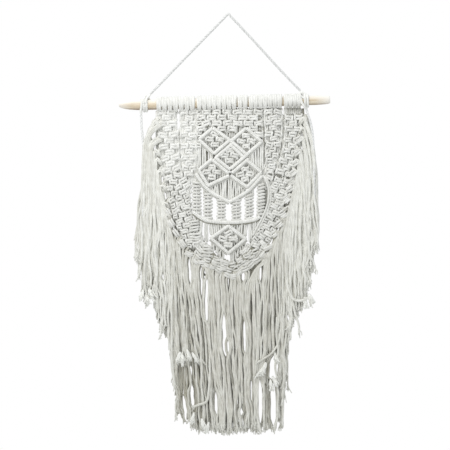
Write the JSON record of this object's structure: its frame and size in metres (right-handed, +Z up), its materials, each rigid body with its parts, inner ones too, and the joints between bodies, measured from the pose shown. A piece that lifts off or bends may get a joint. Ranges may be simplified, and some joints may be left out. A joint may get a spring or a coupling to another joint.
{
  "type": "macrame wall hanging on a wooden dowel",
  "caption": "Cotton macrame wall hanging with knotted diamonds, open sinnets and a long stepped fringe, on a round wooden dowel hung by one cord.",
  "frame": {"origin": "middle of the hanging cord where it goes over the nail or hook that holds it", "axes": "+Z up, +X to the right as the hanging is seen, +Y back towards the wall"},
  "size_m": [0.3495, 0.0266, 0.6951],
  "materials": {
    "wood": "bare smooth-sanded pale wood, darker on its underside",
    "knotted_cotton": "matte off-white cotton cord, knotted tight",
    "fringe_cotton": "matte off-white cotton cord, loose and brushed soft at its ends",
    "twisted_cotton": "matte off-white two-ply twisted cotton cord"
  },
  "bodies": {
    "root": {"arc_line": "knotted_cotton", "centre_fringe": "fringe_cotton", "centre_panel": "knotted_cotton", "dowel": "wood", "hanging_cord": "twisted_cotton", "heading_left": "knotted_cotton", "heading_middle": "knotted_cotton", "heading_right": "knotted_cotton", "left_border": "knotted_cotton", "left_fan": "knotted_cotton", "left_fringe": "fringe_cotton", "left_inner_panel": "knotted_cotton", "left_knot": "twisted_cotton", "left_outer_panel": "knotted_cotton", "left_tail": "twisted_cotton", "lower_left_fan": "knotted_cotton", "lower_right_fan": "knotted_cotton", "right_border": "knotted_cotton", "right_fan": "knotted_cotton", "right_fringe": "fringe_cotton", "right_inner_panel": "knotted_cotton", "right_knot": "twisted_cotton", "right_outer_panel": "knotted_cotton", "right_tail": "twisted_cotton", "sinnet_1": "knotted_cotton", "sinnet_2": "knotted_cotton", "sinnet_3": "knotted_cotton", "sinnet_4": "knotted_cotton", "sinnet_5": "knotted_cotton", "sinnet_6": "knotted_cotton", "small_diamond": "knotted_cotton", "upper_left_fan": "knotted_cotton", "upper_right_fan": "knotted_cotton"}
  },
  "joints": []
}
